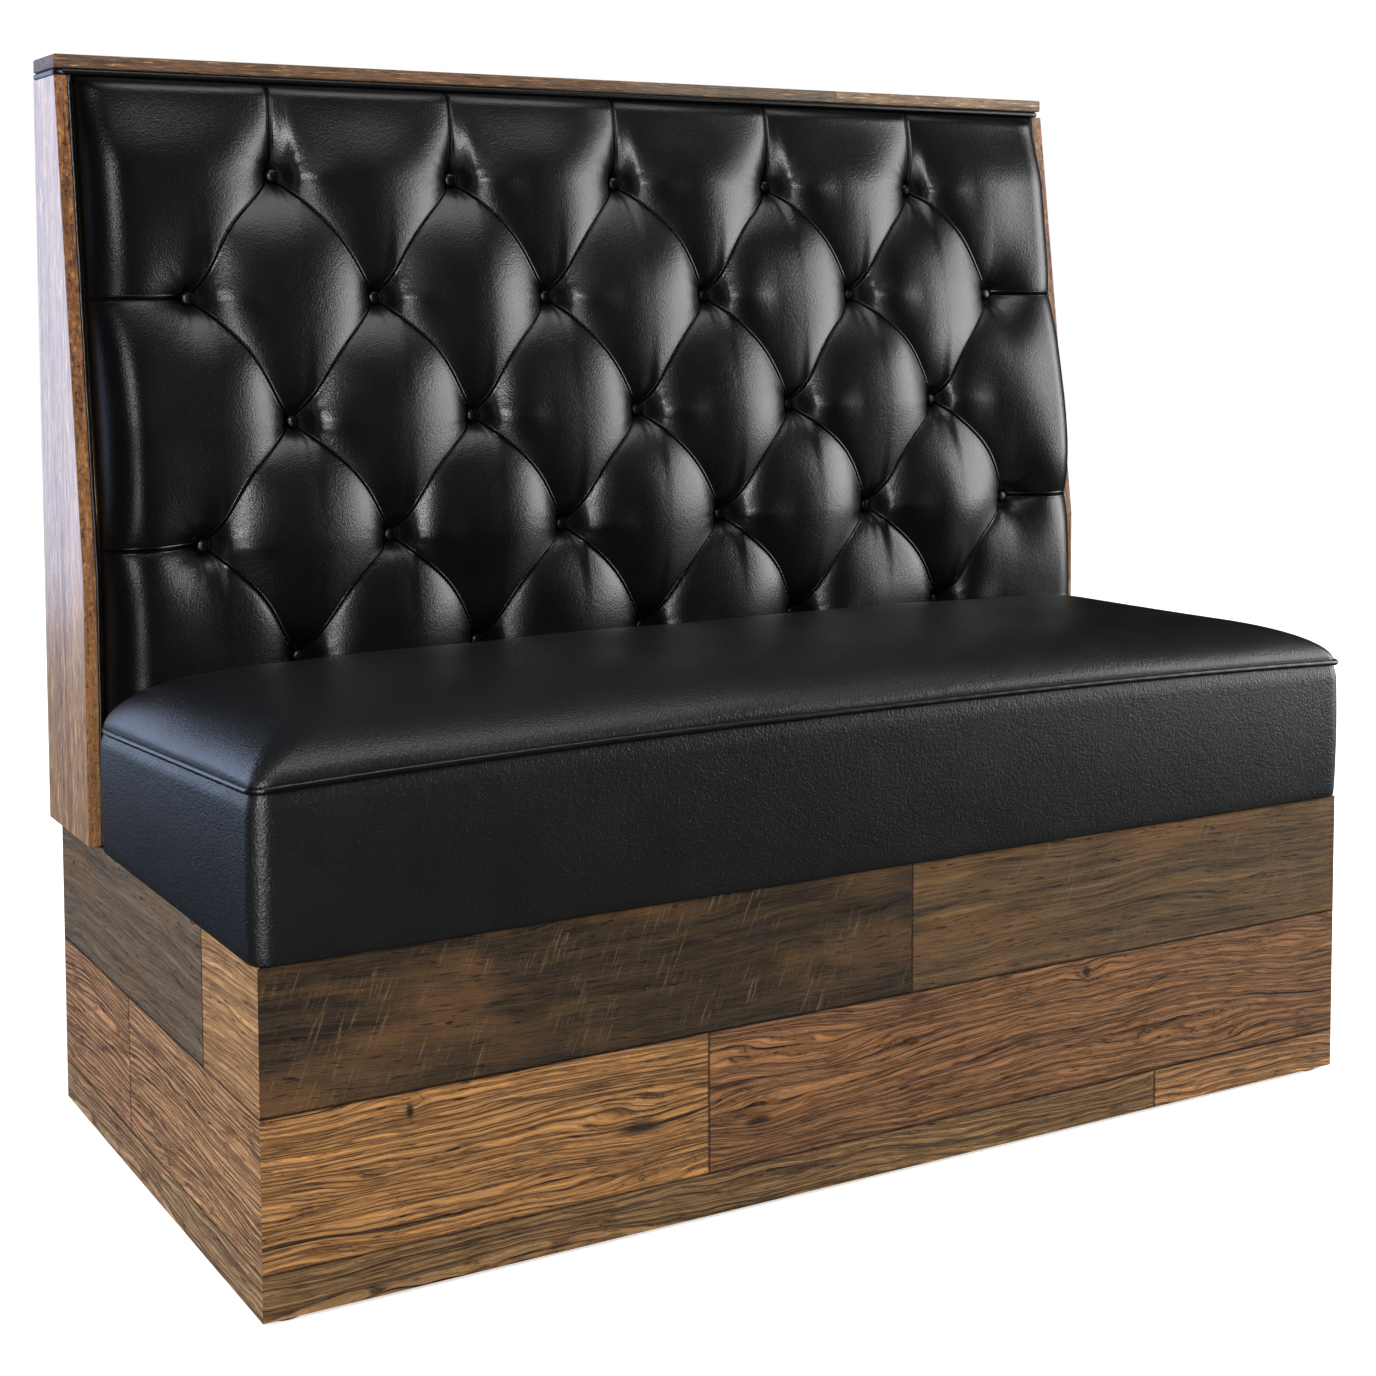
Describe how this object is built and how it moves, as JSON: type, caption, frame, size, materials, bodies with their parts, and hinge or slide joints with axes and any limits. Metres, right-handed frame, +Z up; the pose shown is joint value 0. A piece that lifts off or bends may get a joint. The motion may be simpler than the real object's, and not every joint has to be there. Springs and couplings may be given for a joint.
{
  "type": "restaurant booth",
  "caption": "Single-sided restaurant booth: crowned vinyl seat on a plank-clad box base, and a diamond-tufted back between wood side panels under a wood cap.",
  "frame": {"origin": "On the floor, under the middle of the booth's footprint.", "axes": "+X to the sitter's left when seen from the front, across the width; +Y from the front edge of the seat to the rear; +Z up."},
  "size_m": [1.219, 0.6063, 1.0685],
  "materials": {
    "plywood": "bare birch plywood",
    "frame_timber": "planed pine",
    "reclaimed_planks": "reclaimed plank cladding, satin sealer",
    "side_panel_wood": "brown wood, satin sealer",
    "edge_band_wood": "rough brown edge, satin sealer",
    "cap_wood": "brown wood, satin sealer",
    "black_vinyl": "black upholstery vinyl, fine grain",
    "foam": "upholstery foam",
    "tie_cord": "waxed twine",
    "zinc_steel": "zinc plated",
    "glide_grey": "pressed steel, nickel plated"
  },
  "bodies": {
    "booth": {"base_front_panel": "plywood", "base_left_panel": "plywood", "base_right_panel": "plywood", "base_rear_panel": "plywood", "base_dividers": "plywood", "seat_board": "plywood", "back_board_lower": "plywood", "back_board_upper": "plywood", "base_back_beam": "frame_timber", "corner_posts": "frame_timber", "base_dowels": "frame_timber", "seat_battens": "frame_timber", "back_left_post": "frame_timber", "back_right_post": "frame_timber", "back_inner_posts": "frame_timber", "back_top_rail": "frame_timber", "back_middle_rails": "frame_timber", "back_bottom_rail": "frame_timber", "front_planks": "reclaimed_planks", "right_planks": "reclaimed_planks", "rear_planks": "reclaimed_planks", "left_planks": "reclaimed_planks", "left_side_panel": "side_panel_wood", "right_side_panel": "side_panel_wood", "outside_back_panel": "side_panel_wood", "left_edge_band": "edge_band_wood", "right_edge_band": "edge_band_wood", "top_cap_left": "cap_wood", "top_cap_right": "cap_wood", "seat_cover": "black_vinyl", "seat_welt": "black_vinyl", "back_cover": "black_vinyl", "back_left_welt": "black_vinyl", "back_right_welt": "black_vinyl", "cap_welt": "black_vinyl", "button_row_1": "black_vinyl", "button_row_2": "black_vinyl", "button_row_3": "black_vinyl", "button_row_4": "black_vinyl", "button_row_5": "black_vinyl", "seat_foam": "foam", "back_foam": "foam", "button_ties": "tie_cord", "glide_inserts": "zinc_steel", "seat_screws": "zinc_steel", "panel_screws": "zinc_steel", "cap_screws": "zinc_steel", "back_bolts": "zinc_steel", "back_bolt_nuts": "zinc_steel"},
    "glide_pad_front_left": {"glide_pad_front_left": "glide_grey"},
    "glide_stem_front_left": {"glide_stem_front_left": "zinc_steel"},
    "glide_pad_front_right": {"glide_pad_front_right": "glide_grey"},
    "glide_stem_front_right": {"glide_stem_front_right": "zinc_steel"},
    "glide_pad_rear_left": {"glide_pad_rear_left": "glide_grey"},
    "glide_stem_rear_left": {"glide_stem_rear_left": "zinc_steel"},
    "glide_pad_rear_right": {"glide_pad_rear_right": "glide_grey"},
    "glide_stem_rear_right": {"glide_stem_rear_right": "zinc_steel"}
  },
  "joints": [
    {"name": "front_left_glide_travel", "type": "slide", "parent": "booth", "child": "glide_pad_front_left", "axis": [0, 0, -1], "range_m": [0, 0.012]},
    {"name": "front_left_stem_turn", "type": "hinge", "parent": "glide_pad_front_left", "child": "glide_stem_front_left", "pos_m": [-0.5735, -0.27, 0.003], "axis": [0, 0, -1], "range_deg": [0, 3456]},
    {"name": "front_right_glide_travel", "type": "slide", "parent": "booth", "child": "glide_pad_front_right", "axis": [0, 0, -1], "range_m": [0, 0.012]},
    {"name": "front_right_stem_turn", "type": "hinge", "parent": "glide_pad_front_right", "child": "glide_stem_front_right", "pos_m": [0.5735, -0.27, 0.003], "axis": [0, 0, -1], "range_deg": [0, 3456]},
    {"name": "rear_left_glide_travel", "type": "slide", "parent": "booth", "child": "glide_pad_rear_left", "axis": [0, 0, -1], "range_m": [0, 0.012]},
    {"name": "rear_left_stem_turn", "type": "hinge", "parent": "glide_pad_rear_left", "child": "glide_stem_rear_left", "pos_m": [-0.5735, 0.279, 0.003], "axis": [0, 0, -1], "range_deg": [0, 3456]},
    {"name": "rear_right_glide_travel", "type": "slide", "parent": "booth", "child": "glide_pad_rear_right", "axis": [0, 0, -1], "range_m": [0, 0.012]},
    {"name": "rear_right_stem_turn", "type": "hinge", "parent": "glide_pad_rear_right", "child": "glide_stem_rear_right", "pos_m": [0.5735, 0.279, 0.003], "axis": [0, 0, -1], "range_deg": [0, 3456]}
  ],
  "couplings": [
    {"joint": "front_left_stem_turn", "follows": "front_left_glide_travel", "rad_per_m": 5026.5},
    {"joint": "front_right_stem_turn", "follows": "front_right_glide_travel", "rad_per_m": 5026.5},
    {"joint": "rear_left_stem_turn", "follows": "rear_left_glide_travel", "rad_per_m": 5026.5},
    {"joint": "rear_right_stem_turn", "follows": "rear_right_glide_travel", "rad_per_m": 5026.5}
  ]
}
